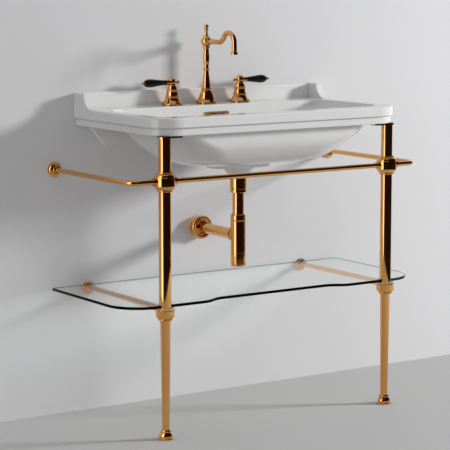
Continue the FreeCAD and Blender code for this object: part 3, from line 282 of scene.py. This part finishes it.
# %% Group: glaze waver
cloud_scale = 5.0
glaze_group, g_in, g_out = new_group(
    "glaze_waver",
    [("Ripple Scale", "NodeSocketFloat", 18.0), ("Gloss Low", "NodeSocketFloat", 0.06),
     ("Gloss High", "NodeSocketFloat", 0.14)],
    [("Roughness", "NodeSocketFloat"), ("Height", "NodeSocketFloat"), ("Tone", "NodeSocketFloat")])
coordinates = glaze_group.nodes.new("ShaderNodeTexCoord")
ripple = glaze_group.nodes.new("ShaderNodeTexNoise")
set_inputs(ripple, Detail=2.0, Roughness=0.4)
glaze_group.links.new(coordinates.outputs["Object"], ripple.inputs["Vector"])
glaze_group.links.new(g_in.outputs["Ripple Scale"], ripple.inputs["Scale"])
cloud = noise(glaze_group, coordinates.outputs["Object"], cloud_scale, 2.0)
gloss = value_map(glaze_group, cloud, g_in.outputs["Gloss Low"], g_in.outputs["Gloss High"])
glaze_group.links.new(gloss, g_out.inputs["Roughness"])
glaze_group.links.new(ripple.outputs["Fac"], g_out.inputs["Height"])
glaze_group.links.new(value_map(glaze_group, cloud, 0.0, 1.0), g_out.inputs["Tone"])
print("group:", glaze_group.name)

# %% White and black glazes


def glazed(name, first, second, ripple_scale, gloss_low, gloss_high, depth, shine=0.5):
    """A glaze between two colours; depth is that of its ripples in metres."""
    material, tree, shader = new_material(name)
    set_inputs(shader, IOR=1.52, Specular_IOR_Level=shine)
    waver = place_group(tree, glaze_group, Ripple_Scale=ripple_scale, Gloss_Low=gloss_low,
                        Gloss_High=gloss_high)
    tree.links.new(waver.outputs["Roughness"], shader.inputs["Roughness"])
    tree.links.new(mix_colours(tree, waver.outputs["Tone"], first, second), shader.inputs["Base Color"])
    add_bump(tree, shader, waver.outputs["Height"], depth)
    return material


white_glaze = glazed("white_glaze", (0.75, 0.75, 0.745, 1), (0.72, 0.72, 0.715, 1),
                     16.0, 0.07, 0.14, 0.0004)
black_glaze = glazed("black_glaze", (0.004, 0.004, 0.005, 1), (0.008, 0.007, 0.007, 1),
                     60.0, 0.04, 0.10, 0.0001, shine=0.3)
print("glazes:", white_glaze.name, black_glaze.name)

# %% [markdown]
# ## Glass
# Plate glass is clear when looked through its face, and dark green or nearly black when looked into
# its edge, because light crosses a metre of it there. A mask of the faces that stand upright, from the
# surface's own normal, gives the edge a darker tint. The index of refraction is set low: the photograph
# looks along the shelf, and at 1.5 the mirrored wall would hide the two rails under it.

# %% Glass
glass_bend = 1.12
glass_face = (0.97, 0.985, 0.98, 1.0)
glass_edge = (0.02, 0.06, 0.05, 1.0)
glass_shade = (0.86, 0.88, 0.87, 1.0)

glass, tree, shader = new_material("clear_plate_glass")
set_inputs(shader, Roughness=0.0, IOR=glass_bend, Transmission_Weight=1.0)
coordinates = tree.nodes.new("ShaderNodeTexCoord")
split = tree.nodes.new("ShaderNodeSeparateXYZ")
tree.links.new(coordinates.outputs["Normal"], split.inputs[0])
upright = tree.nodes.new("ShaderNodeMath")
upright.operation = "ABSOLUTE"
tree.links.new(split.outputs["Z"], upright.inputs[0])
edge_mask = value_map(tree, upright.outputs[0], 1.0, 0.0, 0.2, 0.9)
tree.links.new(mix_colours(tree, edge_mask, glass_face, glass_edge), shader.inputs["Base Color"])
path = tree.nodes.new("ShaderNodeLightPath")
lets_light_by = tree.nodes.new("ShaderNodeBsdfTransparent")
lets_light_by.inputs["Color"].default_value = glass_shade
glass_choice = tree.nodes.new("ShaderNodeMixShader")
tree.links.new(path.outputs["Is Shadow Ray"], glass_choice.inputs[0])
tree.links.new(shader.outputs[0], glass_choice.inputs[1])
tree.links.new(lets_light_by.outputs[0], glass_choice.inputs[2])
tree.links.new(glass_choice.outputs[0], surface_input(tree))
print("glass ready")

# %% [markdown]
# ## Rubber and plastic
# The small pieces between the big ones are rubber or plastic: dull, with a grain so fine that it only
# softens the highlight.

# %% Rubber and plastic


def dull_finish(name, first, second, roughness_low, roughness_high, grain):
    """Rubber or plastic between two colours; a higher grain has finer specks."""
    material, tree, shader = new_material(name)
    coordinates = tree.nodes.new("ShaderNodeTexCoord")
    specks = noise(tree, coordinates.outputs["Object"], grain, 2.0)
    tree.links.new(mix_colours(tree, value_map(tree, specks, 0.0, 1.0), first, second),
                   shader.inputs["Base Color"])
    tree.links.new(value_map(tree, specks, roughness_low, roughness_high), shader.inputs["Roughness"])
    add_bump(tree, shader, specks, 0.00005)
    return material


black_rubber = dull_finish("black_rubber", (0.02, 0.02, 0.02, 1), (0.035, 0.034, 0.033, 1),
                           0.5, 0.7, 900.0)
clear_pad = dull_finish("clear_soft_plastic", (0.60, 0.62, 0.62, 1), (0.66, 0.67, 0.67, 1),
                        0.2, 0.35, 700.0)
grey_plastic = dull_finish("grey_plastic", (0.16, 0.16, 0.17, 1), (0.20, 0.20, 0.20, 1),
                           0.35, 0.5, 800.0)
print("dull finishes ready")

# %% [markdown]
# ## Which piece has which finish
# A piece's name says how it is made. The first entry of this table that a piece's name starts with
# decides its finish, and the empty entry at the end takes every piece that is left: those turned
# upright on a lathe.

# %% Finishes by piece
finish_by_name = (
    ("basin_pads", black_rubber),
    ("basin", white_glaze),
    ("seals", black_rubber),
    ("deck_gaskets", black_rubber),
    ("shelf_pads", clear_pad),
    ("glass_shelf", glass),
    ("spout_aerator", grey_plastic),
    ("hot_lever_grip", black_glaze),
    ("cold_lever_grip", black_glaze),
    ("hot_lever_tip", gold["turned_across"]),
    ("cold_lever_tip", gold["turned_across"]),
    ("post_", gold["drawn_up"]),
    ("leg_", gold["drawn_up"]),
    ("rail_front", gold["drawn_across"]),
    ("link_pipes", gold["drawn_across"]),
    ("rail_arm", gold["drawn_deep"]),
    ("shelf_rail", gold["drawn_deep"]),
    ("trap_outlet", gold["turned_deep"]),
    ("trap_wall", gold["turned_deep"]),
    ("wall_roses", gold["turned_deep"]),
    ("overflow_ring", gold["cast"]),
    ("spout_swan", gold["cast"]),
    ("mixer_tee", gold["cast"]),
    ("top_plate", gold["cast"]),
    ("", gold["turned_up"]),
)
for name, piece in nodes.items():
    finish = next(material for start, material in finish_by_name if name.startswith(start))
    piece.data.materials.clear()
    piece.data.materials.append(finish)
print("pieces dressed:", len(nodes))

# %% [markdown]
# ## Finishes of the room
# The wall is clear from behind. It is also clear to a mirror reflection that meets it after less than a
# centimetre, because the covers lie flat against it and their backs would be black otherwise.
# The floor has no shine at all, so it never mirrors the curtain or the card.

# %% Finishes of the room


def stage_finish(name, colour, roughness):
    """One even colour for a piece of the room."""
    material, tree, shader = new_material(name)
    set_inputs(shader, Base_Color=colour, Roughness=roughness)
    return material, tree, shader


card_glow = 1.5
touch_reach = 0.01
floor_shine = 0.0
floor_paint, tree, shader = stage_finish("floor_paint", (0.54, 0.54, 0.54, 1.0), 0.25)
set_inputs(shader, Specular_IOR_Level=floor_shine)
floor.data.materials.append(floor_paint)
# The curtain's dark red-brown is painted into the gold's reflections: a painted dark reflection.
painted_dark_reflection, tree, shader = stage_finish("painted_dark_reflection", (0.014, 0.0035, 0.003, 1.0), 1.0)
dark_reflection_curtain.data.materials.append(painted_dark_reflection)
# The card's glow is a painted highlight, seen only in mirror reflections.
painted_highlight_glow, tree, shader = stage_finish("painted_highlight_glow", (0.8, 0.8, 0.8, 1.0), 1.0)
set_inputs(shader, Emission_Color=(1.0, 0.98, 0.95, 1.0), Emission_Strength=card_glow)
glowing_highlight_card.data.materials.append(painted_highlight_glow)
wall_paint, tree, shader = stage_finish("wall_paint", (0.66, 0.66, 0.67, 1.0), 0.6)
behind = tree.nodes.new("ShaderNodeNewGeometry")
path = tree.nodes.new("ShaderNodeLightPath")
touching = tree.nodes.new("ShaderNodeMath")
touching.operation = "LESS_THAN"
tree.links.new(path.outputs["Ray Length"], touching.inputs[0])
touching.inputs[1].default_value = touch_reach
see_through = tree.nodes.new("ShaderNodeMath")
see_through.operation = "MAXIMUM"
tree.links.new(behind.outputs["Backfacing"], see_through.inputs[0])
tree.links.new(touching.outputs[0], see_through.inputs[1])
clear = tree.nodes.new("ShaderNodeBsdfTransparent")
wall_choice = tree.nodes.new("ShaderNodeMixShader")
tree.links.new(see_through.outputs[0], wall_choice.inputs[0])
tree.links.new(shader.outputs[0], wall_choice.inputs[1])
tree.links.new(clear.outputs[0], wall_choice.inputs[2])
tree.links.new(wall_choice.outputs[0], surface_input(tree))
wall.data.materials.append(wall_paint)
print("room painted")

# %% [markdown]
# ## Light
# Two soft lamps and an even pale world. The strong lamp stands far off on the right, a metre above the
# tap and turned towards the wall, so it throws the long soft shadows to the left and leaves the left
# faces grey. Mirror reflections don't meet it, so no hard streak runs down the tubes. The weak lamp on
# the left keeps those faces from going flat.

# %% Lamps and world


def lamp(name, place, target, size, power):
    """A square area lamp at place that faces target; size in metres, power in watts."""
    data = bpy.data.lights.new(name, "AREA")
    data.shape = "SQUARE"
    data.size = size
    data.energy = power
    made = bpy.data.objects.new(name, data)
    ahead_x, ahead_y, ahead_z = np.array(target) - np.array(place)
    tilt = math.atan2(math.hypot(ahead_x, ahead_y), -ahead_z)
    made.location = place
    made.rotation_euler = (tilt, 0.0, math.atan2(ahead_y, ahead_x) - math.pi / 2)
    bpy.context.scene.collection.objects.link(made)
    return made


main_lamp = lamp("lamp_right", (5.2, -2.6, 2.15), (0.0, 0.1, 0.8), 0.9, 335.0)
main_lamp.visible_glossy = False
lamp("lamp_left", (-3.6, -0.9, 1.4), (0.0, 0.0, 0.6), 1.6, 9.0)
world = bpy.data.worlds.new("pale_world")
bpy.context.scene.world = world
world.use_nodes = True
set_inputs(world.node_tree.nodes["Background"], Color=(0.80, 0.805, 0.81, 1.0), Strength=0.565)
bpy.context.scene.view_settings.view_transform = "Standard"
print("lamps: 2")
